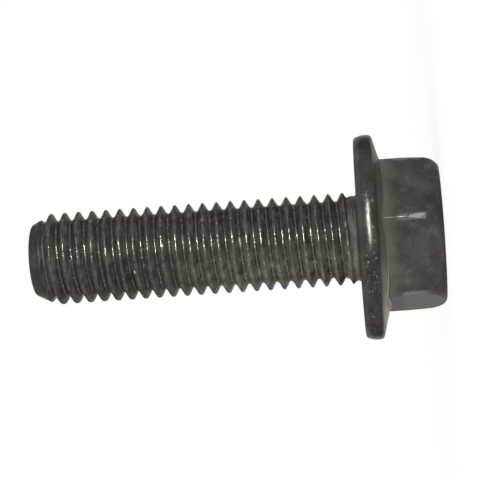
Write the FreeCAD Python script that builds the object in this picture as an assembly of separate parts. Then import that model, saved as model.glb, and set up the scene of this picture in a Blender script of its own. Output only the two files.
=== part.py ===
import FreeCAD, Part
import math
import os

from FreeCAD import Vector

# M10 x 1.5 flange bolt, one piece of steel: a cold-forged head with its flange
# and a shank with a rolled thread.
# The origin is the centre of the bearing face under the flange.
# +Z runs along the shank to its point, and the head lies below the origin.
# Lengths are in millimetres and angles in degrees.

# Thread, right hand, with its crests cut flat and its roots left sharp
major_diameter = 9.85
pitch = 1.5
flank_angle = 60.0
crest_flat = pitch / 8
thread_start = 82.0

# Shank, with the bearing face kept a little outside the crests
shank_length = 35.15
neck_length = 0.8
neck_depth = 0.39
crest_lead = 0.22
runout_length = 1.6
bearing_inset = 0.05
point_depth = 1.13
point_angle = 28.0

# Flange
flange_diameter = 21.92
rim_thickness = 1.88
flange_slope = 15.0
bearing_edge_chamfer = 0.45
rim_edge_chamfer = 0.3

# Hexagon, whose corners narrow a little towards the crown
across_flats = 14.8
head_height = 8.82
corner_taper = 0.2
taper_length = 2.6
crown_height = 1.78
crown_inset = 1.27
knee_height = 0.66
knee_inset = 0.46

# Order of the curve that follows one turn of a helix, and how far the tools that
# trim the thread stand clear of it
helix_degree = 20
tool_clearance = 0.5

# Worked out from the sizes above
TURN = 2 * math.pi
major_radius = major_diameter / 2
neck_radius = major_radius - neck_depth
underhead_chamfer = neck_depth + bearing_inset
point_radius = major_radius - point_depth
flange_radius = flange_diameter / 2
flank_run = (pitch - crest_flat) / 2
root_radius = major_radius - flank_run / math.tan(math.radians(flank_angle / 2))
crest_start = neck_length - crest_lead


def on_helix(radius, height, angle):
    """The point at an angle along the helix that starts at a radius and height."""
    turned = angle + math.radians(thread_start)
    rise = pitch * angle / TURN
    return Vector(radius * math.cos(turned), radius * math.sin(turned), height + rise)


def helix_poles(radius, height, start):
    """Poles of a Bezier curve that follows the helix for one turn."""
    steps = [(1 - math.cos(math.pi * i / helix_degree)) / 2 for i in range(helix_degree + 1)]
    points = [[on_helix(radius, height, start + TURN * step)] for step in steps]
    curve = Part.BezierCurve()
    curve.interpolate(points, steps)
    return curve.getPoles()


def helical_band(near, far, start):
    """One turn of the straight band between two helices, each (radius, height).

    Weights of 1/radius make the lines of its grid run straight in space.
    """
    poles = [list(pair) for pair in zip(helix_poles(*near, start), helix_poles(*far, start))]
    weights = [1 / max(radius, tool_clearance) for radius in (near[0], far[0])]
    surface = Part.BSplineSurface()
    surface.buildFromPolesMultsKnots(
        poles, [len(poles)] * 2, [2, 2], [0, 1], [0, 1], False, False,
        helix_degree, 1, [weights] * len(poles),
    )
    return surface.toShape()


def thread_cap(profile, start):
    """Closes one end of the thread with a helical ramp and a flat step."""
    axis = (0, profile[0][1])
    low = on_helix(*axis, start)
    high = on_helix(*axis, start + TURN)
    step = [low] + [on_helix(*corner, start) for corner in profile] + [high, low]
    return [helical_band(axis, profile[0], start), Part.Face(Part.makePolygon(step))]


def threaded_bar(bottom, top):
    """A bar with the thread along it, which reaches past both heights."""
    profile = [
        (major_radius, 0),
        (major_radius, crest_flat),
        (root_radius, crest_flat + flank_run),
        (major_radius, pitch),
    ]
    first = math.floor(bottom / pitch) - 1
    last = math.ceil(top / pitch) + 1
    faces = []
    for turn in range(first, last):
        for near, far in zip(profile, profile[1:]):
            faces.append(helical_band(near, far, TURN * turn))
    for turn in (first, last):
        faces += thread_cap(profile, TURN * turn)
    shell = Part.makeShell(faces)
    shell.sewShape()
    bar = Part.makeSolid(shell)
    if bar.Volume < 0:
        bar.reverse()
    return bar


def turned(outline):
    """A solid of revolution about Z from (radius, height) corners."""
    corners = [Vector(radius, 0, height) for radius, height in outline]
    face = Part.Face(Part.makePolygon(corners + corners[:1]))
    return face.revolve(Vector(0, 0, 0), Vector(0, 0, 1), 360)


def flange_and_neck():
    """The flange, its bearing face, the neck and the cone on which the roots run out."""
    slope = math.tan(math.radians(flange_slope))
    cone_apex = -rim_thickness - flange_radius * slope
    runout_apex = neck_length + runout_length * neck_radius / (neck_radius - root_radius)
    return turned([
        (0, cone_apex),
        (flange_radius - rim_edge_chamfer, -rim_thickness - rim_edge_chamfer * slope),
        (flange_radius, -rim_thickness + rim_edge_chamfer),
        (flange_radius, -bearing_edge_chamfer),
        (flange_radius - bearing_edge_chamfer, 0),
        (neck_radius + underhead_chamfer, 0),
        (neck_radius, underhead_chamfer),
        (neck_radius, neck_length),
        (0, runout_apex),
    ])


def hexagon():
    """The hexagon, cut to a cone along its corners and bevelled in two cones at its crown."""
    corner_radius = across_flats / 2 / math.cos(math.radians(30))
    crown_radius = corner_radius - corner_taper
    crown_base = crown_height - head_height
    corners = [Vector(corner_radius, 0, 0)]
    for i in range(6):
        corners.append(FreeCAD.Rotation(Vector(0, 0, 1), 60).multVec(corners[-1]))
    prism = Part.Face(Part.makePolygon(corners)).extrude(Vector(0, 0, -head_height))
    blank = turned([
        (0, 0),
        (corner_radius, 0),
        (corner_radius, crown_base + taper_length),
        (crown_radius, crown_base),
        (crown_radius - knee_inset, knee_height - head_height),
        (crown_radius - crown_inset, -head_height),
        (0, -head_height),
    ])
    return prism.common(blank)


def shank():
    """The thread, with its crests cut away at the point and above the neck."""
    inside = crest_start / 2
    outside = major_radius + tool_clearance
    point_length = (outside - point_radius) / math.tan(math.radians(point_angle))
    envelope = turned([
        (0, crest_start - inside),
        (neck_radius - inside, crest_start - inside),
        (outside, crest_start + outside - neck_radius),
        (outside, shank_length - point_length),
        (point_radius, shank_length),
        (0, shank_length),
    ])
    return threaded_bar(0, shank_length).common(envelope)


def flange_bolt():
    """The whole bolt as one solid."""
    return hexagon().fuse([flange_and_neck(), shank()]).removeSplitter()


os.makedirs("parts", exist_ok=True)
flange_bolt().exportStep("parts/flange_bolt.step")
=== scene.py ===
"""Flange bolt: its looks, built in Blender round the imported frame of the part."""

import math
from types import SimpleNamespace

import bmesh
import bpy
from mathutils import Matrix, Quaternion, Vector, noise


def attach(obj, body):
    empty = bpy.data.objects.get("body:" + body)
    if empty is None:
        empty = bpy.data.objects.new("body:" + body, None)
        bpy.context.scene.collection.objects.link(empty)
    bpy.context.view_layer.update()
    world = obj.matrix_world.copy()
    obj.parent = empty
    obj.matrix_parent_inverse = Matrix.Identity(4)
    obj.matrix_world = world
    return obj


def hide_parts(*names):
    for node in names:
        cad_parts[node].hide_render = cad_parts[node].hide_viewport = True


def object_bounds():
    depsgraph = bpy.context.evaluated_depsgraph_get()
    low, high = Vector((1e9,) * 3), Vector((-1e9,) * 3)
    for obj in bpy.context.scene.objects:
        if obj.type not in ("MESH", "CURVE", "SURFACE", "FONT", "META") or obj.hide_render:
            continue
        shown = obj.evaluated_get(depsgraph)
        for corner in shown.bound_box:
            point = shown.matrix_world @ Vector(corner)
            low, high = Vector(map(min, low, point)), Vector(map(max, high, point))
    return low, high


bl_info = {
    "name": "Flange Bolt",
    "version": (1, 0, 0),
    "blender": (4, 5, 0),
    "location": "3D View > Sidebar > Flange Bolt",
    "description": "Makes a flange bolt with a rolled thread, and a plain stage for it",
    "category": "Mesh",
}

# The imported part, which every size below has to fit. +Z runs along the shank,
# the bearing face lies at height 0, and the bolt stands on the top of its head.
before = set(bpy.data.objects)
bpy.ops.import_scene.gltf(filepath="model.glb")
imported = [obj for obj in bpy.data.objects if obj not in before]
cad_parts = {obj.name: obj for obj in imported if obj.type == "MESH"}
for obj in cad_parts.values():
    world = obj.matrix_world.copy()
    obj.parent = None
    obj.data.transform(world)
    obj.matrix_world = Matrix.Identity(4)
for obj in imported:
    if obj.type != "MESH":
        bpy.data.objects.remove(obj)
CAD_LOW, CAD_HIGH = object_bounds()

MM = 0.001
TURN = 2 * math.pi

# Columns of points round the bolt, in six sectors that start at the hexagon's corners,
# and how far apart they stand at a corner, as a share of even spacing
SECTORS = 6
COLUMNS_PER_SECTOR = 32
COLUMNS = SECTORS * COLUMNS_PER_SECTOR
CORNER_CROWDING = 0.15
MERGE_DISTANCE = 0.001 * MM

# Rows of points along one turn of the thread, crowded at its crest and root
ROWS_PER_TURN = 16
ROW_CROWDING = 0.75

# Thread: tilt of its flanks, how softly they meet the crest, and how far the crest
# drops towards them. The plain neck is left to the head up to NECK_TOP.
FLANK_TILT = math.radians(30)
CREST_SOFTNESS = 0.03 * MM
CREST_SAG = 0.014 * MM
NECK_TOP = 0.5 * MM

# Wear of the crests: size of its dents, distance from the middle of the crest at which
# it has ended and at which it is full, and the noise at which it starts and is full
WEAR_SPACING = 0.9 * MM
WEAR_REACH = (0.3 * MM, 0.05 * MM)
WEAR_CUT = (0.4, 0.75)

# Power of the crown's curve, where 1 is a flat bevel and 2 is an ellipse
CROWN_FULLNESS = 1.45

# Shares of the way at which rings of points lie: over the top of the head, down the
# crown, down the hexagon, down the flange, over the bearing face and over the end face
TOP_STEPS = (0.35, 0.7, 0.9, 0.98)
CROWN_STEPS = (0.03, 0.1, 0.19, 0.29, 0.4, 0.5, 0.6, 0.69, 0.77, 0.84, 0.9, 0.95, 0.985, 1.0)
SIDE_STEPS = (0.03, 0.1, 0.2, 0.32, 0.45, 0.6, 0.75, 0.87, 0.95)
FLANGE_STEPS = (0.04, 0.12, 0.24, 0.38, 0.54, 0.7, 0.85)
BEARING_STEPS = (0.03, 0.3, 0.6, 0.85, 0.97)
END_STEPS = (0.97, 0.85, 0.6, 0.3)

# Number of steps round a small corner, across the rim and round the corner at the neck
CORNER_ARC = 6
RIM_ARC = 8
NECK_ARC = 7

# Forging marks: the height up to which they reach, the sizes of their large and small
# waves, and the shares of the full depth: in the middle, by the waves, and how much of
# the waves the small one makes up
FORGED_UP_TO = -0.3 * MM
FORGE_WAVES = (2.5 * MM, 0.8 * MM)
FORGE_MIDDLE = 0.5
FORGE_SWING = 0.6
SMALL_WAVE = 0.5

# Where the finish changes, in millimetres. Each pair gives the place at which a mask
# is 0 and the place at which it is 1. First come heights along the axis.
SHANK_FROM = (0.1, 0.5)
THREAD_FROM = (0.8, 1.2)
THREAD_TO = (33.6, 33.2)
NECK_TO = (2.4, 1.4)
# Film on the shank, partly dust and partly painted light, ends towards the point
DUST_AND_LIGHT_TO = (24.0, 12.0)
POINT_FROM = (33.3, 33.9)
END_FROM = (34.4, 35.0)
FLANGE_TOP = (-1.85, -2.1)
FOOT_FROM = (-4.4, -2.8)
HEXAGON_FROM = (-3.8, -4.6)

# Distances from the axis, with the height above a cone that rises with the flange
ROOT_RADIUS = (4.35, 4.1)
CREST_RADIUS = (4.84, 4.92)
EDGE_RADIUS = (8.3, 8.38)
CONE_RADIUS = (11.2, 8.8)
RIM_RADIUS = (10.75, 10.9)
CONE_RISE = 0.272
ABOVE_CONE = (-4.93, -4.875)

# Places along Y. Nicks lie on the side of the bolt that faces -Y. The rest is painted
# light, lighter on the -Y side as though light fell from there: the film on the cone,
# the lighter film low on the cone, the film on the hexagon's flat that faces -Y, and
# part of the film on the shank.
NICKED_SIDE = (4.0, 0.0)
CONE_FILM_LIT_SIDE = (0.0, -6.0)
DUST_AND_LIGHT_SIDE = (-0.5, -3.5)
CONE_PAINTED_LIGHT_SIDE = (-3.5, -7.0)
LIT_FLAT_PLACE = (-7.0, -7.3)

# Noises: how many clouds to a millimetre, detail and roughness. The last four also have
# the values at which they are cut off to 0 and to 1. The lines are drawn out round the
# bolt by a stretch of their places.
PATCHES = (0.35, 5.0, 0.6)
STAINS = (0.9, 6.0, 0.65)
GRAIN = (7.0, 4.0, 0.65)
BREAKS = (1.6, 3.0, 0.7)
LINES = (1.0, 4.0, 0.7)
LINE_STRETCH = (0.6, 0.6, 9.0)
DENTS = (2.4, 4.0, 0.7)
NICKS = (3.2, 5.0, 0.75, 0.59, 0.68)
SPARKS = (2.6, 3.0, 0.6, 0.6, 0.68)
FRECKLES = (2.2, 3.0, 0.6, 0.68, 0.76)
BLOTCHES = (0.8, 5.0, 0.7, 0.38, 0.62)

# Values at which the noises that serve twice are cut off to 0 and to 1
EDGE_CUT = (0.34, 0.56)
THREAD_CUT = (0.38, 0.56)
LINE_CUT = (0.34, 0.62)
DUST_AND_LIGHT_CUT = (0.3, 0.6)
STAIN_CUT = (0.5, 0.75)
PATCH_CUT = (0.3, 0.7)

# How much of the worn steel and of the film each place takes on. The film on the shank's
# -Y side is partly dust and partly painted light, the film on the hexagon's flat that
# faces -Y is painted light, and the cone's film, painted lighter towards -Y, falls to its
# least share on the +Y side.
WORN_THREAD = 0.35
WORN_EDGE = 0.3
WORN_RIM = 0.8
FILM_DUST_AND_LIGHT = 0.6
FLAT_PAINTED_LIGHT = 0.25
FILM_FOOT = 0.2
FILM_STAINS = 0.18
CONE_FILM_ON_SHADED_SIDE = 0.6

# Tones: the steel's two ends, the painted light low on the cone's -Y side, a film twice
# as light, how little of the thread's colour a blotch leaves, and how far crests and roots
# go to dirt and back
STEEL_TONES = (0.8, 1.4)
CONE_PAINTED_LIGHT_TONE = 2
LEAST_BLOTCH = 0.4
STAINED_SHARE = 0.75
BRIGHT_SHARE = 0.85

# Sheen: how much rougher or smoother each place is, and how much like bare metal
ROUGH_PATCHES = 0.16
ROUGH_SHIFT = -0.06
ROUGH_RUST = 0.3
ROUGH_END = 0.2
SMOOTH_RIM = 0.18
SMOOTH_EDGE = 0.14
SMOOTH_THREAD = 0.25
METAL_EVERYWHERE = 0.45
METAL_BRIGHT = 0.5
METAL_RIM = 0.6
SPECULAR_LEVEL = 0.1
SPECULAR_TINT = (0.35, 0.35, 0.35)

# Fine relief: shares of its grain, lines and rim dents, how much of it is left off
# where the thread is bright, and its strength and depth
GRAIN_RELIEF = 0.4
LINE_RELIEF = 0.8
RIM_RELIEF = 3.0
POLISHED_SHARE = 0.5
RELIEF_STRENGTH = 0.5
RELIEF_DEPTH = 0.015 * MM

# Specks on the steel: place and radius in millimetres. Their grain pushes the edge
# about, and the edge fades between two shares of the radius.
RUST_SPOT = ((3.003, -3.352, 24.41), 0.62)
PALE_SPECK = ((3.820, -2.906, 23.92), 0.22)
WHITE_DOT = ((4.877, -0.470, 20.65), 0.14)
SPOT_RAGGEDNESS = 0.6
SPOT_EDGE = (1.4, 1.1)

# Light that comes evenly from all round, where white behind the bolt is 1
AMBIENT = 0.12

# The floor's whiteness under the bolt, and how far off it starts to rise and is full
FLOOR_WHITENESS = 0.88
FLOOR_FADE = (0.03, 0.15)

# Lamps: name, azimuth and elevation in degrees, distance, width and height in metres,
# power in watts and whether the steel mirrors them
LAMPS = (
    ("key_lamp", 5.0, 1.0, 0.25, 0.17, 0.007, 1.3, True),
    ("side_lamp", -62.0, 10.0, 0.35, 0.4, 0.3, 1.35, False),
    ("high_lamp", -110.0, 30.0, 0.4, 0.4, 0.3, 0.5, False),
    ("top_lamp", -60.0, 75.0, 0.4, 0.4, 0.4, 0.5, False),
    ("back_lamp", 170.0, 35.0, 0.4, 0.3, 0.3, 0.6, False),
)

# The photograph's camera: the place it looks at in millimetres, its direction, its
# roll in degrees and its lens in millimetres
CAMERA_TARGET = (1.1576, 0.426, 12.7171)
CAMERA_LOOKS = (-0.97045, 0.22733, 0.08092)
CAMERA_ROLL = -93.973
CAMERA_LENS = 132.34

# Inputs of the threaded shank's node group, by their kind
THREAD_INPUTS = {
    "NodeSocketInt": ("Columns", "Rows per Turn", "Turns"),
    "NodeSocketFloat": (
        "Major Radius", "Pitch", "Crest Flat", "Root Rounding", "Start Turn",
        "Neck Radius", "Crest Start", "Groove Start", "Run-out", "Lower End",
        "Upper End", "Upper End Radius", "Point Slope", "Wear", "Seed",
    ),
    "NodeSocketMaterial": ("Material",),
}


def length(name, description, default):
    """A size that a user can change, shown as a length."""
    return bpy.props.FloatProperty(
        name=name, description=description, default=default, min=0.0,
        precision=5, unit="LENGTH", subtype="DISTANCE",
    )


def share(name, description, default):
    """A number between 0 and 1 that a user can change."""
    return bpy.props.FloatProperty(
        name=name, description=description, default=default,
        min=0.0, max=1.0, subtype="FACTOR",
    )


def colour(name, description, default):
    """A colour that a user can change."""
    return bpy.props.FloatVectorProperty(
        name=name, description=description, default=default, size=3,
        min=0.0, max=1.0, subtype="COLOR",
    )


def angle(name, description, degrees):
    """An angle that a user can change."""
    return bpy.props.FloatProperty(
        name=name, description=description, default=math.radians(degrees),
        unit="ROTATION", subtype="ANGLE",
    )


def group(kind, name, description):
    """A group of settings within the whole."""
    return bpy.props.PointerProperty(type=kind, name=name, description=description)


class ThreadSettings(bpy.types.PropertyGroup):
    """The rolled thread, its run-out under the head and its point."""

    major_diameter: length("Major diameter", "Width over the crests", 9.88 * MM)
    pitch: length("Pitch", "Height of one turn", 1.5 * MM)
    crest_flat: length("Crest flat", "Width of the flat along the crest", 0.1875 * MM)
    root_rounding: length("Root rounding", "Radius at the bottom of the groove", 0.28 * MM)
    start_angle: angle("Start angle", "Where the crest crosses the bearing face", 82)
    neck_diameter: length("Neck diameter", "Width of the plain neck under the head", 9.07 * MM)
    crest_start: length("Crest start", "Height at which the crest rises", 0.58 * MM)
    groove_start: length("Groove start", "Height at which the groove sets in", 0.8 * MM)
    runout: length("Run-out", "Height over which the groove reaches its depth", 1.6 * MM)
    point_diameter: length("Point diameter", "Width of the end face", 7.59 * MM)
    point_angle: angle("Point angle", "Slope of the point to the axis", 28)
    point_rounding: length("Point rounding", "Radius at the edge of the end face", 0.3 * MM)
    wear: length("Wear", "Depth of the unevenness along the crests", 0.03 * MM)
    seed: bpy.props.IntProperty(
        name="Seed", description="Changes the places of the wear", default=4, min=0,
    )


class HeadSettings(bpy.types.PropertyGroup):
    """The forged head: hexagon, crown, flange and the corner under it."""

    across_flats: length("Across flats", "Wrench size", 14.78 * MM)
    height: length("Head height", "From the bearing face to the top", -CAD_LOW.z)
    edge_rounding: length("Edge rounding", "Radius along the six edges", 0.1 * MM)
    corner_taper: length("Corner taper", "How far the corners narrow at the crown", 0.2 * MM)
    taper_length: length("Taper length", "Height over which the corners narrow", 2.6 * MM)
    crown_inset: length("Crown inset", "How far the crown cuts in at the top", 1.27 * MM)
    crown_drop: length("Crown drop", "How far the crown reaches down the edges", 1.78 * MM)
    foot_rounding: length("Foot rounding", "Radius between hexagon and flange", 0.3 * MM)
    flange_diameter: length("Flange diameter", "Width of the flange", 21.91 * MM)
    rim_thickness: length("Rim thickness", "Height of the flange at its rim", 1.88 * MM)
    flange_slope: angle("Flange slope", "Slope of the flange above its rim", 15.2)
    rim_crown: length("Rim crown", "Radius across the rim", 2.2 * MM)
    rim_middle: length("Rim middle", "Height at which the rim is widest", 1.25 * MM)
    rim_corner: length("Rim corner", "Radius at both sides of the rim", 0.45 * MM)
    neck_rounding: length("Neck rounding", "Radius between bearing face and neck", 0.4 * MM)
    unevenness: length("Unevenness", "Depth of the marks left by forging", 0.012 * MM)


class FinishSettings(bpy.types.PropertyGroup):
    """The dark oxidised steel."""

    steel: colour("Steel", "Oxidised steel of the head", (0.029, 0.0273, 0.0243))
    thread: colour("Thread", "Duller oxide on the thread", (0.09, 0.0835, 0.073))
    film: colour("Film", "Brownish film on flange and thread", (0.165, 0.148, 0.12))
    dirt: colour("Dirt", "Oil and dust in the thread", (0.016, 0.0152, 0.0136))
    worn: colour("Worn steel", "Where the oxide is rubbed thin", (0.36, 0.35, 0.325))
    rust: colour("Rust", "Rust spots", (0.03, 0.022, 0.013))
    speck: colour("Specks", "Pale grit on the thread", (0.75, 0.72, 0.62))
    roughness: share("Roughness", "Roughness of the oxidised steel", 0.34)


class StageSettings(bpy.types.PropertyGroup):
    """Floor, lamps and camera."""

    floor: colour("Floor", "Colour of the floor", (0.9, 0.9, 0.89))
    floor_size: length("Floor size", "Width of the floor", 1.2)
    distance: length("Camera distance", "From the camera to the bolt", 188.45 * MM)


class Nodes:
    """Adds nodes to a tree, with their inputs set to values or joined to outputs."""

    def __init__(self, tree):
        self.tree = tree

    def put(self, value, socket):
        """Sets an input, or joins an output to it."""
        if isinstance(value, bpy.types.NodeSocket):
            self.tree.links.new(value, socket)
        elif socket.type == "RGBA":
            socket.default_value = (*value[:3], 1.0)
        else:
            socket.default_value = value

    def add(self, kind, inputs=None, **options):
        """A new node with its inputs and options."""
        node = self.tree.nodes.new(kind)
        for name, value in options.items():
            setattr(node, name, value)
        for name, value in (inputs or {}).items():
            self.put(value, node.inputs[name])
        return node

    def step(self, operation, *values, clamp=False):
        """One step of arithmetic."""
        node = self.add("ShaderNodeMath", operation=operation, use_clamp=clamp)
        for value, socket in zip(values, node.inputs):
            self.put(value, socket)
        return node.outputs[0]

    def chain(self, operation, first, *others):
        """The same step taken along several values, from left to right."""
        for value in others:
            first = self.step(operation, first, value)
        return first

    def plus(self, *values):
        """The sum of several values."""
        return self.chain("ADD", *values)

    def minus(self, value, less):
        """What is left of a value."""
        return self.step("SUBTRACT", value, less)

    def times(self, *values):
        """The product of several values."""
        return self.chain("MULTIPLY", *values)

    def over(self, value, divisor):
        """A value divided by another."""
        return self.step("DIVIDE", value, divisor)

    def most(self, *values):
        """The largest of several values."""
        return self.chain("MAXIMUM", *values)

    def least(self, *values):
        """The smallest of several values."""
        return self.chain("MINIMUM", *values)

    def strongest(self, *pairs):
        """The largest of several masks, each with its own strength."""
        return self.most(*[self.times(mask, strength) for mask, strength in pairs])

    def lifted(self, mask, least):
        """A mask that runs from a least value to 1."""
        return self.plus(self.times(mask, 1 - least), least)

    def faded(self, value, mask, loss):
        """A value that loses a share of itself where a mask is 1."""
        return self.times(value, self.minus(1.0, self.times(mask, loss)))

    def ramp(self, value, low, high):
        """Rises smoothly from 0 to 1 between two values, or falls if low is above high."""
        if low > high:
            return self.minus(1.0, self.ramp(value, high, low))
        return self.add(
            "ShaderNodeMapRange", {"Value": value, "From Min": low, "From Max": high},
            interpolation_type="SMOOTHSTEP",
        ).outputs["Result"]

    def distance(self, place):
        """Distance of a place from the origin."""
        return self.add("ShaderNodeVectorMath", {0: place}, operation="LENGTH").outputs["Value"]

    def joined(self, x, y, z):
        """A place from its three parts."""
        return self.add("ShaderNodeCombineXYZ", {"X": x, "Y": y, "Z": z}).outputs[0]

    def noise(self, place, scale, detail, roughness):
        """Cloudy noise between 0 and 1."""
        return self.add("ShaderNodeTexNoise", {
            "Vector": place, "Scale": scale, "Detail": detail, "Roughness": roughness,
        }).outputs[0]

    def clouds(self, place, scale, detail, roughness, low, high):
        """Cloudy noise that is cut off to 0 and to 1 at two values."""
        return self.ramp(self.noise(place, scale, detail, roughness), low, high)

    def spot(self, place, spot, grain):
        """1 inside a spot of (middle, radius) with a ragged edge, and 0 outside it."""
        middle, radius = spot
        off = self.add("ShaderNodeVectorMath", {0: place, 1: middle}, operation="DISTANCE")
        ragged = self.plus(off.outputs["Value"], self.times(grain, SPOT_RAGGEDNESS * radius))
        outside, inside = SPOT_EDGE
        return self.ramp(ragged, outside * radius, inside * radius)

    def mix(self, mask, first, second):
        """The first colour where a mask is 0 and the second where it is 1."""
        node = self.add("ShaderNodeMix", {"Factor": mask}, data_type="RGBA")
        # A mix node has a socket A and B for each kind of value: these are the colours
        self.put(first, node.inputs[6])
        self.put(second, node.inputs[7])
        return node.outputs[2]

    def seen_directly(self):
        """1 for what camera, reflection or clear glass shows, and 0 for light on things."""
        path = self.add("ShaderNodeLightPath").outputs
        mirrored = self.most(path["Is Glossy Ray"], path["Is Transmission Ray"])
        return self.most(path["Is Camera Ray"], mirrored)


def blank_nodes(owner):
    """The emptied node tree of a material or world, ready for new nodes."""
    owner.use_nodes = True
    owner.node_tree.nodes.clear()
    return Nodes(owner.node_tree)


def thread_tree():
    """Geometry Nodes for the threaded shank, and the identifiers of its inputs.

    A flat grid is rolled into a tube whose rows follow the helix. A row's height
    within its turn gives its radius: crest, flank or rounded root. The rows are
    closer together at crest and root. What reaches past an end is held on it.
    """
    tree = bpy.data.node_groups.new("Threaded shank", "GeometryNodeTree")
    inputs = {}
    for kind, names in THREAD_INPUTS.items():
        for name in names:
            socket = tree.interface.new_socket(name, in_out="INPUT", socket_type=kind)
            inputs[name] = socket.identifier
    tree.interface.new_socket("Geometry", in_out="OUTPUT", socket_type="NodeSocketGeometry")
    make = Nodes(tree)
    given = make.add("NodeGroupInput").outputs
    pitch = given["Pitch"]
    major = given["Major Radius"]
    neck = given["Neck Radius"]
    rounding = given["Root Rounding"]
    grid = make.add("GeometryNodeMeshGrid", {
        "Size X": 1.0, "Size Y": 1.0,
        "Vertices X": make.plus(given["Columns"], 1.0),
        "Vertices Y": make.plus(make.times(given["Rows per Turn"], given["Turns"]), 1.0),
    })
    here = make.add("GeometryNodeInputPosition").outputs[0]
    place = make.add("ShaderNodeSeparateXYZ", {"Vector": here}).outputs
    around = make.plus(place["X"], 0.5)
    along = make.plus(place["Y"], 0.5)

    # Height of each row, crowded towards crest and root
    turns = make.times(along, given["Turns"])
    wave = make.step("SINE", make.times(turns, 2 * TURN))
    crowded = make.minus(turns, make.times(wave, ROW_CROWDING / (2 * TURN)))
    free_height = make.times(make.plus(crowded, around, given["Start Turn"]), pitch)
    height = make.least(make.most(free_height, given["Lower End"]), given["Upper End"])

    # Distance along the axis from the middle of the nearest crest, and the flank there
    phase = make.minus(make.over(height, pitch), make.plus(around, given["Start Turn"]))
    from_crest = make.times(make.step("PINGPONG", phase, 0.5), pitch)
    half_flat = make.times(given["Crest Flat"], 0.5)
    slope = 1 / math.tan(FLANK_TILT)
    flank = make.minus(major, make.times(make.minus(from_crest, half_flat), slope))

    # Crest, a little lower towards the flanks
    over_flat = make.least(make.over(from_crest, half_flat), 1.0)
    sag = make.times(make.step("POWER", over_flat, 2.0), CREST_SAG)
    crest = make.step("SMOOTH_MIN", flank, major, CREST_SOFTNESS)
    crest = make.least(crest, make.minus(major, sag))

    # Rounded root, which touches both flanks
    half_pitch = make.times(pitch, 0.5)
    from_root = make.minus(half_pitch, from_crest)
    sharp_root = make.minus(major, make.times(make.minus(half_pitch, half_flat), slope))
    root_middle = make.plus(sharp_root, make.over(rounding, math.sin(FLANK_TILT)))
    reach = make.minus(make.step("POWER", rounding, 2.0), make.step("POWER", from_root, 2.0))
    root = make.minus(root_middle, make.step("SQRT", make.most(reach, 0.0)))
    in_root = make.step("LESS_THAN", from_root, make.times(rounding, math.cos(FLANK_TILT)))
    thread = make.add("ShaderNodeMix", {"Factor": in_root, "A": crest, "B": root})

    # Crest unevenness from wear, which dies out in the grooves
    turned = make.times(around, TURN)
    cosine, sine = make.step("COSINE", turned), make.step("SINE", turned)
    dents = make.add("ShaderNodeTexNoise", {
        "Vector": make.joined(make.times(cosine, major), make.times(sine, major), height),
        "W": given["Seed"], "Scale": 1 / WEAR_SPACING, "Detail": 3.0, "Roughness": 0.6,
    }, noise_dimensions="4D")
    worn_off = make.times(make.ramp(dents.outputs[0], *WEAR_CUT), given["Wear"])
    worn_off = make.times(worn_off, make.ramp(from_crest, *WEAR_REACH))
    thread = make.minus(thread.outputs["Result"], worn_off)

    # Run-out at the neck and cone at the point
    above_crest = make.most(make.minus(height, given["Crest Start"]), 0.0)
    crest_limit = make.plus(neck, above_crest)
    above_groove = make.most(make.minus(height, given["Groove Start"]), 0.0)
    groove_share = make.over(above_groove, given["Run-out"])
    groove_limit = make.minus(neck, make.times(groove_share, make.minus(neck, sharp_root)))
    below_end = make.minus(given["Upper End"], height)
    widening = make.times(below_end, given["Point Slope"])
    point_limit = make.plus(given["Upper End Radius"], widening)
    radius = make.most(make.least(thread, crest_limit), groove_limit)
    radius = make.least(radius, point_limit)

    rolled = make.joined(make.times(cosine, radius), make.times(sine, radius), height)
    shank = make.add("GeometryNodeSetPosition", {
        "Geometry": grid.outputs["Mesh"], "Position": rolled,
    })
    shank = make.add("GeometryNodeMergeByDistance", {
        "Geometry": shank.outputs[0], "Distance": MERGE_DISTANCE,
    })
    shank = make.add("GeometryNodeRealizeInstances", {"Geometry": shank.outputs[0]})
    shank = make.add("GeometryNodeSetMaterial", {
        "Geometry": shank.outputs[0], "Material": given["Material"],
    })
    make.add("NodeGroupOutput", {"Geometry": shank.outputs[0]})
    return tree, inputs


def thread_mesh(thread, low, high, high_radius, material):
    """The threaded shank between two heights, as a plain mesh open at both ends."""
    tree, inputs = thread_tree()
    crest_middle = thread.crest_flat / thread.pitch / 2
    at_zero = crest_middle - thread.start_angle / TURN
    first = math.floor(low / thread.pitch - at_zero - 1)
    last = math.ceil(high / thread.pitch - at_zero)
    values = {
        "Columns": COLUMNS, "Rows per Turn": ROWS_PER_TURN, "Turns": last - first,
        "Major Radius": thread.major_diameter / 2, "Pitch": thread.pitch,
        "Crest Flat": thread.crest_flat, "Root Rounding": thread.root_rounding,
        "Start Turn": at_zero + first, "Neck Radius": thread.neck_diameter / 2,
        "Crest Start": thread.crest_start, "Groove Start": thread.groove_start,
        "Run-out": thread.runout, "Lower End": low, "Upper End": high,
        "Upper End Radius": high_radius, "Point Slope": math.tan(thread.point_angle),
        "Wear": thread.wear, "Seed": float(thread.seed), "Material": material,
    }
    holder = bpy.data.objects.new("thread", bpy.data.meshes.new("thread"))
    bpy.context.scene.collection.objects.link(holder)
    modifier = holder.modifiers.new("Thread", "NODES")
    modifier.node_group = tree
    for name, value in values.items():
        modifier[inputs[name]] = value
    graph = bpy.context.evaluated_depsgraph_get()
    mesh = bpy.data.meshes.new_from_object(holder.evaluated_get(graph))
    holder.modifiers.remove(modifier)
    bpy.data.objects.remove(holder)
    return mesh


def arc(middle, radius, start, end, steps):
    """Points (radius, height) along an arc, from one angle to another in degrees."""
    points = []
    for i in range(steps + 1):
        turned = math.radians(start + (end - start) * i / steps)
        out, up = radius * math.cos(turned), radius * math.sin(turned)
        points.append((middle[0] + out, middle[1] + up))
    return points


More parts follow.
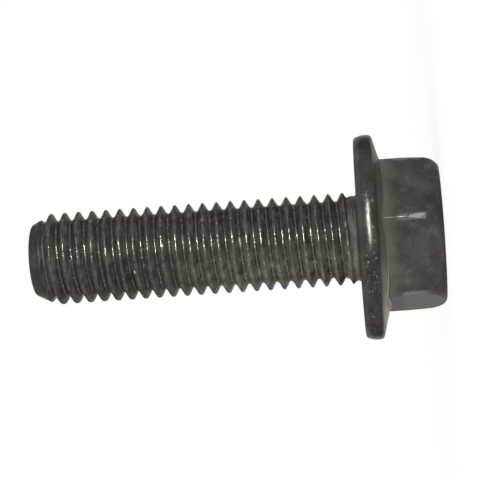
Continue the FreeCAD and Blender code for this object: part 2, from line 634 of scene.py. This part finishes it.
class HeadShape:
    """Works out the rings of points over the head."""

    def __init__(self, head, thread):
        self.head = head
        self.thread = thread
        self.flange_radius = head.flange_diameter / 2
        self.inradius = head.across_flats / 2
        self.top = -head.height
        self.crown_start = self.top + head.crown_drop
        self.crown_radius = self.inradius / math.cos(math.radians(30)) - head.corner_taper
        self.top_radius = self.crown_radius - head.crown_inset

    def cone_height(self, radius):
        """Height of the flange's sloped side."""
        slope = math.tan(self.head.flange_slope)
        return -self.head.rim_thickness - (self.flange_radius - radius) * slope

    def hexagon_radius(self, turned):
        """Radius of the hexagon at an angle, with its corners just broken."""
        sector = TURN / SECTORS
        off = abs((turned + sector / 2) % sector - sector / 2)
        rounding = self.head.edge_rounding
        middle = (self.inradius - rounding) / math.cos(sector / 2)
        touch = math.atan2(rounding / 2, middle + rounding * math.cos(sector / 2))
        if off < touch:
            sideways = middle * math.sin(off)
            return middle * math.cos(off) + math.sqrt(rounding ** 2 - sideways ** 2)
        return self.inradius / math.cos(sector / 2 - off)

    def crown_point(self, turned):
        """Point (radius, height) of the crown, from 0 at its top to a quarter turn below."""
        outward = math.sin(turned) ** (2 / CROWN_FULLNESS)
        upward = math.cos(turned) ** (2 / CROWN_FULLNESS)
        return (
            self.top_radius + self.head.crown_inset * outward,
            self.crown_start - self.head.crown_drop * upward,
        )

    def crown_line(self, radius):
        """Points from the top face down the crown, and on down a tapered corner."""
        head = self.head
        reach = min((radius - self.top_radius) / head.crown_inset, 1.0)
        full = math.asin(reach ** (CROWN_FULLNESS / 2))
        taper = max(radius - self.crown_radius, 0.0) / head.corner_taper * head.taper_length
        crown = math.hypot(head.crown_inset, head.crown_drop) * full / (TURN / 4)
        points = []
        for step in CROWN_STEPS:
            walked = step * (crown + taper)
            if walked < crown:
                points.append(self.crown_point(full * walked / crown))
            else:
                down = walked - crown
                narrowed = head.corner_taper * down / head.taper_length
                points.append((self.crown_radius + narrowed, self.crown_start + down))
        if radius < self.crown_radius:
            points[-1] = self.crown_point(full)
        return points

    def over_head(self, turned):
        """Points from near the middle of the top to the foot of the hexagon."""
        foot = self.head.foot_rounding
        slope = self.head.flange_slope
        radius = self.hexagon_radius(turned)
        points = [(self.top_radius * step, self.top) for step in TOP_STEPS]
        points += self.crown_line(radius)
        edge_height = points[-1][1]
        foot_middle = radius + foot
        touch_radius = foot_middle - foot * math.sin(slope)
        foot_height = self.cone_height(touch_radius) - foot * math.cos(slope)
        for step in SIDE_STEPS:
            points.append((radius, edge_height + (foot_height - edge_height) * step))
        foot_end = 90 + math.degrees(slope)
        points += arc((foot_middle, foot_height), foot, 180, foot_end, CORNER_ARC)
        return points

    def rim(self):
        """Points (radius, height) round the crowned rim, from sloped side to bearing face."""
        head = self.head
        corner = head.rim_corner
        slope = math.degrees(head.flange_slope)
        middle = (self.flange_radius - head.rim_crown, -head.rim_middle)
        reach = head.rim_crown - corner
        base_turn = math.asin((head.rim_middle - corner) / reach)
        # The upper corner touches both the crowned rim and the sloped side
        normal = (math.sin(head.flange_slope), -math.cos(head.flange_slope))
        edge = (self.flange_radius, -head.rim_thickness)
        gap = sum((edge[i] - middle[i]) * normal[i] for i in (0, 1)) - corner
        top_turn = math.asin(gap / reach) - head.flange_slope
        upper, lower = (
            (middle[0] + reach * math.cos(turned), middle[1] + reach * math.sin(turned))
            for turned in (-top_turn, base_turn)
        )
        top_degrees, base_degrees = math.degrees(top_turn), math.degrees(base_turn)
        points = arc(upper, corner, slope - 90, -top_degrees, CORNER_ARC)
        points += arc(middle, head.rim_crown, -top_degrees, base_degrees, RIM_ARC)[1:-1]
        points += arc(lower, corner, base_degrees, 90, CORNER_ARC)
        return points

    def over_flange(self, start, end):
        """Points down the sloped side, from one radius to another."""
        radii = [start + (end - start) * step for step in FLANGE_STEPS]
        return [(radius, self.cone_height(radius)) for radius in radii]

    def under_flange(self, start):
        """Points over the bearing face and up to the neck."""
        rounding = self.head.neck_rounding
        inner = self.thread.neck_diameter / 2 + rounding
        points = [(start + (inner - start) * step, 0.0) for step in BEARING_STEPS]
        return points + arc((inner, rounding), rounding, 270, 180, NECK_ARC)


def at(radius, turned, height):
    """The point at a radius, an angle round the bolt and a height."""
    return Vector((radius * math.cos(turned), radius * math.sin(turned), height))


def column_angle(column, crowding):
    """Angle of a column of points: even round the bolt, or crowded at the six corners."""
    nearest = round(column / COLUMNS_PER_SECTOR)
    off = (column - nearest * COLUMNS_PER_SECTOR) / (COLUMNS_PER_SECTOR / 2)
    crowded = CORNER_CROWDING * off + (1 - CORNER_CROWDING) * off ** 3
    half_sector = TURN / SECTORS / 2
    return half_sector * (2 * nearest + off + crowding * (crowded - off))


def head_rings(shape):
    """Rings of points from the top of the head to the neck."""
    crowded = [column_angle(column, 1.0) for column in range(COLUMNS)]
    columns = [shape.over_head(turned) for turned in crowded]
    rings = []
    for points in zip(*columns):
        rings.append([
            at(radius, turned, height) for (radius, height), turned in zip(points, crowded)
        ])
    rim = shape.rim()
    flange = [shape.over_flange(points[-1][0], rim[0][0]) for points in columns]
    count = len(flange[0])
    for i, points in enumerate(zip(*flange)):
        crowding = 1 - (i + 1) / count
        ring = []
        for column in range(COLUMNS):
            radius, height = points[column]
            ring.append(at(radius, column_angle(column, crowding), height))
        rings.append(ring)
    rings += [plain_ring(*point) for point in rim + shape.under_flange(rim[-1][0])]
    rings.append(plain_ring(shape.thread.neck_diameter / 2, NECK_TOP))
    return rings


def plain_ring(radius, height):
    """A round ring with its points evenly spaced."""
    return [at(radius, TURN * column / COLUMNS, height) for column in range(COLUMNS)]


def point_rings(thread, end):
    """Rings over the end of the shank, from the cone to near the middle of the end face."""
    tilt = math.degrees(thread.point_angle)
    rounding = thread.point_rounding
    # The cone and the end face would meet at the point's radius
    corner = thread.point_diameter / 2
    middle_radius = corner - rounding * math.tan(math.radians(90 - tilt) / 2)
    points = arc((middle_radius, end - rounding), rounding, tilt, 90, CORNER_ARC)
    points += [(middle_radius * step, end) for step in END_STEPS]
    return [plain_ring(radius, height) for radius, height in points]


def join_rings(work, rings, low_pole, high_pole):
    """Faces between rings, and to a pole at either end, facing outwards."""
    made = [[work.verts.new(point) for point in ring] for ring in rings]
    for near, far in zip(made, made[1:]):
        for column in range(COLUMNS):
            after = (column + 1) % COLUMNS
            work.faces.new((near[column], near[after], far[after], far[column]))
    for pole, ring in ((low_pole, made[0][::-1]), (high_pole, made[-1])):
        if pole is None:
            continue
        tip = work.verts.new(pole)
        for column in range(COLUMNS):
            work.faces.new((tip, ring[column], ring[(column + 1) % COLUMNS]))


def forge_marks(work, settings):
    """Presses the head in a little here and there, as forging leaves it."""
    for vert in work.verts:
        if vert.co.z > FORGED_UP_TO:
            continue
        large, small = (noise.noise(vert.co / size) for size in FORGE_WAVES)
        pressed = FORGE_MIDDLE + FORGE_SWING * (large + SMALL_WAVE * small)
        vert.co -= vert.normal * (settings.unevenness * min(max(pressed, 0.0), 1.0))


def bolt_mesh(settings, material):
    """The whole bolt as one closed mesh."""
    head, thread = settings.head, settings.thread
    shape = HeadShape(head, thread)
    end = CAD_HIGH.z
    cap = point_rings(thread, end)
    # The first point of the cap lies on the X axis
    cap_radius, cap_height = cap[0][0].x, cap[0][0].z
    work = bmesh.new()
    join_rings(work, head_rings(shape), Vector((0, 0, -head.height)), None)
    work.normal_update()
    forge_marks(work, head)
    join_rings(work, cap, None, Vector((0, 0, end)))
    shank = thread_mesh(thread, NECK_TOP, cap_height, cap_radius, material)
    work.from_mesh(shank)
    bpy.data.meshes.remove(shank)
    bmesh.ops.remove_doubles(work, verts=work.verts[:], dist=MERGE_DISTANCE)
    bmesh.ops.recalc_face_normals(work, faces=work.faces[:])
    open_edges = [edge for edge in work.edges if not edge.is_manifold]
    if open_edges:
        raise RuntimeError("the bolt's mesh has %d open or crossed edges" % len(open_edges))
    for face in work.faces:
        face.smooth = True
        face.material_index = 0
    mesh = bpy.data.meshes.new("flange_bolt_body")
    work.to_mesh(mesh)
    work.free()
    return mesh


def steel_parts(make, scaled):
    """Height, side and the masks for the bolt's parts, each 1 on its part and 0 off it."""
    place = make.add("ShaderNodeSeparateXYZ", {"Vector": scaled}).outputs
    height, side = place["Z"], place["Y"]
    flat = make.add("ShaderNodeVectorMath", {0: scaled, 1: (1, 1, 0)}, operation="MULTIPLY")
    across = make.distance(flat.outputs[0])
    shank = make.ramp(height, *SHANK_FROM)
    thread = make.ramp(height, *THREAD_FROM)
    whole_thread = make.times(thread, make.ramp(height, *THREAD_TO))
    hexagon = make.ramp(height, *HEXAGON_FROM)
    below_rim = make.ramp(height, *FLANGE_TOP)
    above_cone = make.minus(height, make.times(across, CONE_RISE))
    return SimpleNamespace(
        height=height, side=side, shank=shank, hexagon=hexagon,
        crest=make.times(make.ramp(across, *CREST_RADIUS), thread),
        root=make.times(make.ramp(across, *ROOT_RADIUS), whole_thread),
        neck=make.times(make.ramp(height, *NECK_TO), shank),
        point=make.ramp(height, *POINT_FROM),
        end=make.ramp(height, *END_FROM),
        edge=make.times(make.ramp(across, *EDGE_RADIUS), hexagon),
        rim=make.ramp(across, *RIM_RADIUS),
        foot=make.times(make.ramp(height, *FOOT_FROM), below_rim),
        # Painted light: the film on the cone is weaker towards +Y, so the cone is lighter on
        # its -Y side
        cone=make.times(
            make.ramp(above_cone, *ABOVE_CONE), below_rim, make.ramp(across, *CONE_RADIUS),
            make.lifted(make.ramp(side, *CONE_FILM_LIT_SIDE), CONE_FILM_ON_SHADED_SIDE),
        ),
    )


def steel_noises(make, scaled):
    """The noises that break up the steel."""
    drawn_out = make.add("ShaderNodeMapping", {"Vector": scaled, "Scale": LINE_STRETCH})
    return SimpleNamespace(
        patches=make.noise(scaled, *PATCHES),
        stains=make.noise(scaled, *STAINS),
        grain=make.noise(scaled, *GRAIN),
        breaks=make.noise(scaled, *BREAKS),
        dents=make.noise(scaled, *DENTS),
        lines=make.noise(drawn_out.outputs[0], *LINES),
        nicks=make.clouds(scaled, *NICKS),
        sparks=make.clouds(scaled, *SPARKS),
        freckles=make.clouds(scaled, *FRECKLES),
        blotches=make.clouds(scaled, *BLOTCHES),
    )


def steel_material(finish):
    """Dark oxidised steel, with worn crests and edges, dirt in the grooves and rust, and
    painted light: a lighter film on the -Y side of the cone, the hexagon and the shank.
    """
    material = bpy.data.materials.new("dark_oxidised_steel")
    make = blank_nodes(material)
    here = make.add("ShaderNodeTexCoord").outputs["Object"]
    scaled = make.add("ShaderNodeMapping", {"Vector": here, "Scale": (1 / MM,) * 3}).outputs[0]
    on = steel_parts(make, scaled)
    noises = steel_noises(make, scaled)

    # Crests, roots and hexagon edges that shine, and the oxide worn off them and the rim
    crest_or_root = make.most(on.crest, on.root)
    bright = make.times(crest_or_root, make.ramp(noises.breaks, *THREAD_CUT))
    edge = make.times(on.edge, make.ramp(noises.breaks, *EDGE_CUT))
    nicks = make.times(noises.nicks, make.ramp(on.side, *NICKED_SIDE))
    worn = make.strongest(
        (make.times(crest_or_root, noises.sparks), WORN_THREAD),
        (edge, WORN_EDGE),
        (make.times(on.rim, nicks), WORN_RIM),
    )

    # Rust and specks
    freckles = make.times(noises.freckles, on.shank)
    rust = make.most(make.spot(scaled, RUST_SPOT, noises.grain), freckles)
    pale_speck = make.spot(scaled, PALE_SPECK, noises.grain)
    specks = make.most(pale_speck, make.spot(scaled, WHITE_DOT, noises.grain))

    # Film on the flange and the hexagon, and on the shank's -Y side, where it is partly dust
    # and partly painted light. The film on the hexagon's flat that faces -Y is painted light,
    # the cone's film is painted lighter towards -Y, and low on the cone's -Y side a film
    # twice as light is painted light.
    # Partly dust and partly painted light: the shank is lighter on its -Y side, towards the
    # head
    dust = make.times(
        make.ramp(on.side, *DUST_AND_LIGHT_SIDE), make.ramp(on.height, *DUST_AND_LIGHT_TO),
        make.ramp(noises.stains, *DUST_AND_LIGHT_CUT), FILM_DUST_AND_LIGHT, on.shank,
    )
    # Painted light: the hexagon's flat that faces -Y takes on a lighter film
    painted_light_on_flat = make.times(make.ramp(on.side, *LIT_FLAT_PLACE), on.hexagon)
    film = make.most(on.cone, dust, make.strongest(
        (on.foot, FILM_FOOT),
        (painted_light_on_flat, FLAT_PAINTED_LIGHT),
        (make.ramp(noises.stains, *STAIN_CUT), FILM_STAINS),
    ))
    # Painted light: a film twice as light low on the cone's -Y side
    painted_light_low_on_cone = make.times(on.cone, make.ramp(on.side, *CONE_PAINTED_LIGHT_SIDE))

    # The thread between dirt and its own colour, then all colours laid over each other
    blotches = make.lifted(noises.blotches, LEAST_BLOTCH)
    mottled = make.times(make.ramp(noises.lines, *LINE_CUT), blotches)
    mottled = make.faded(mottled, make.most(on.point, crest_or_root), STAINED_SHARE)
    mottled = make.most(mottled, make.times(bright, BRIGHT_SHARE))
    dark, light = (finish.steel * tone for tone in STEEL_TONES)
    steel = make.mix(make.ramp(noises.patches, *PATCH_CUT), dark, light)
    base = make.mix(on.shank, steel, make.mix(mottled, finish.dirt, finish.thread))
    for mask, over in (
        (film, finish.film), (painted_light_low_on_cone, finish.film * CONE_PAINTED_LIGHT_TONE), (worn, finish.worn),
        (rust, finish.rust), (specks, finish.speck),
    ):
        base = make.mix(mask, base, over)

    # Sheen
    rough = make.plus(
        make.times(noises.patches, ROUGH_PATCHES), finish.roughness + ROUGH_SHIFT,
        make.times(make.most(rust, on.neck), ROUGH_RUST), make.times(on.end, ROUGH_END),
    )
    smooth = make.strongest((on.rim, SMOOTH_RIM), (edge, SMOOTH_EDGE), (bright, SMOOTH_THREAD))
    rough = make.step("SUBTRACT", rough, smooth, clamp=True)
    bare = make.most(bright, edge, make.times(on.rim, METAL_RIM))
    metallic = make.plus(make.times(bare, METAL_BRIGHT), METAL_EVERYWHERE)

    # Fine relief
    relief = make.plus(
        make.times(noises.grain, GRAIN_RELIEF),
        make.times(noises.lines, on.shank, LINE_RELIEF),
        make.times(noises.dents, make.times(on.rim, RIM_RELIEF)),
    )
    bump = make.add("ShaderNodeBump", {
        "Height": make.faded(relief, bright, POLISHED_SHARE),
        "Strength": RELIEF_STRENGTH, "Distance": RELIEF_DEPTH,
    })
    shader = make.add("ShaderNodeBsdfPrincipled", {
        "Base Color": base, "Metallic": metallic, "Roughness": rough,
        "Specular IOR Level": SPECULAR_LEVEL, "Specular Tint": SPECULAR_TINT,
        "Normal": bump.outputs[0],
    })
    make.add("ShaderNodeOutputMaterial", {"Surface": shader.outputs[0]})
    return material


def floor_material(stage):
    """A pale floor that keeps the bolt's shadow and turns white towards its edge."""
    material = bpy.data.materials.new("pale_floor")
    make = blank_nodes(material)
    away = make.distance(make.add("ShaderNodeTexCoord").outputs["Object"])
    whiteness = make.lifted(make.ramp(away, *FLOOR_FADE), FLOOR_WHITENESS)
    matt = make.add("ShaderNodeBsdfDiffuse", {"Color": stage.floor})
    white = make.add("ShaderNodeEmission", {"Color": (1.0, 1.0, 1.0), "Strength": 1.0})
    shader = make.add("ShaderNodeMixShader", {
        0: make.times(make.seen_directly(), whiteness), 1: matt.outputs[0], 2: white.outputs[0],
    })
    make.add("ShaderNodeOutputMaterial", {"Surface": shader.outputs[0]})
    return material


def white_world():
    """Soft even light, with white behind the bolt."""
    world = bpy.data.worlds.new("white_surroundings")
    make = blank_nodes(world)
    background = make.add("ShaderNodeBackground", {
        "Color": (1.0, 1.0, 1.0), "Strength": make.lifted(make.seen_directly(), AMBIENT),
    })
    make.add("ShaderNodeOutputWorld", {"Surface": background.outputs[0]})
    bpy.context.scene.world = world


def add_lamp(name, azimuth, elevation, distance, width, height, power, mirrored):
    """A soft lamp that faces the middle of the bolt, from an azimuth and elevation."""
    lamp = bpy.data.lights.new(name, "AREA")
    lamp.shape = "RECTANGLE"
    lamp.size = width
    lamp.size_y = height
    lamp.energy = power
    holder = bpy.data.objects.new(name, lamp)
    bpy.context.scene.collection.objects.link(holder)
    turned, raised = math.radians(azimuth), math.radians(elevation)
    towards = Vector((
        math.cos(turned) * math.cos(raised),
        math.sin(turned) * math.cos(raised),
        math.sin(raised),
    ))
    holder.location = Vector((0, 0, (CAD_LOW.z + CAD_HIGH.z) / 2)) + towards * distance
    holder.rotation_mode = "QUATERNION"
    holder.rotation_quaternion = towards.to_track_quat("Z", "Y")
    holder.visible_glossy = mirrored


class FLANGE_BOLT_OT_make_bolt(bpy.types.Operator):
    """Make the bolt: forged head, neck, rolled thread and point in one closed mesh"""

    bl_idname = "flange_bolt.make_bolt"
    bl_label = "Make Bolt"

    def execute(self, context):
        settings = context.scene.flange_bolt
        material = steel_material(settings.finish)
        mesh = bolt_mesh(settings, material)
        mesh.materials.clear()
        mesh.materials.append(material)
        bolt = bpy.data.objects.new("flange_bolt_dressed", mesh)
        context.scene.collection.objects.link(bolt)
        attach(bolt, "root")
        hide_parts("flange_bolt")
        return {"FINISHED"}


class FLANGE_BOLT_OT_make_stage(bpy.types.Operator):
    """Make the pale floor, the soft lamps and the camera of the photograph"""

    bl_idname = "flange_bolt.make_stage"
    bl_label = "Make Stage"

    def execute(self, context):
        stage = context.scene.flange_bolt.stage
        white_world()
        half = stage.floor_size / 2
        low = CAD_LOW.z
        mesh = bpy.data.meshes.new("floor")
        mesh.from_pydata(
            [(-half, -half, low), (half, -half, low), (half, half, low), (-half, half, low)],
            [], [(0, 1, 2, 3)],
        )
        mesh.materials.append(floor_material(stage))
        floor = bpy.data.objects.new("floor", mesh)
        context.scene.collection.objects.link(floor)

        for lamp in LAMPS:
            add_lamp(*lamp)

        camera = bpy.data.cameras.new("photo_camera")
        camera.sensor_fit = "HORIZONTAL"
        camera.sensor_width = 36.0
        camera.lens = CAMERA_LENS
        camera.clip_start = 0.01
        camera.clip_end = 10
        holder = bpy.data.objects.new("photo_camera", camera)
        context.scene.collection.objects.link(holder)
        forward = Vector(CAMERA_LOOKS).normalized()
        holder.location = Vector(CAMERA_TARGET) * MM - forward * stage.distance
        holder.rotation_mode = "QUATERNION"
        roll = Quaternion((0, 0, 1), math.radians(CAMERA_ROLL))
        holder.rotation_quaternion = forward.to_track_quat("-Z", "Y") @ roll
        context.scene.camera = holder
        context.scene.view_settings.view_transform = "Standard"
        return {"FINISHED"}


class BoltSettings(bpy.types.PropertyGroup):
    """All that can be changed."""

    thread: group(ThreadSettings, "Thread", "The rolled thread")
    head: group(HeadSettings, "Head", "The forged head")
    finish: group(FinishSettings, "Finish", "The steel")
    stage: group(StageSettings, "Stage", "Floor, lamps and camera")


class FLANGE_BOLT_PT_panel(bpy.types.Panel):
    """Lists the steps and the sizes of the bolt"""

    bl_idname = "FLANGE_BOLT_PT_panel"
    bl_label = "Flange Bolt"
    bl_space_type = "VIEW_3D"
    bl_region_type = "UI"
    bl_category = "Flange Bolt"

    def draw(self, context):
        settings = context.scene.flange_bolt
        column = self.layout.column()
        for operator in OPERATORS:
            column.operator(operator.bl_idname)
        for each in (settings.thread, settings.head, settings.finish, settings.stage):
            box = self.layout.box()
            for name in each.bl_rna.properties.keys():
                if name not in ("rna_type", "name"):
                    box.prop(each, name)


OPERATORS = (FLANGE_BOLT_OT_make_bolt, FLANGE_BOLT_OT_make_stage)
CLASSES = (
    ThreadSettings, HeadSettings, FinishSettings, StageSettings, BoltSettings,
    *OPERATORS, FLANGE_BOLT_PT_panel,
)


def register():
    for each in CLASSES:
        bpy.utils.register_class(each)
    bpy.types.Scene.flange_bolt = bpy.props.PointerProperty(type=BoltSettings)


def unregister():
    del bpy.types.Scene.flange_bolt
    for each in reversed(CLASSES):
        bpy.utils.unregister_class(each)


def main():
    register()
    bpy.ops.flange_bolt.make_bolt()
    bpy.ops.flange_bolt.make_stage()


if __name__ == "__main__":
    main()
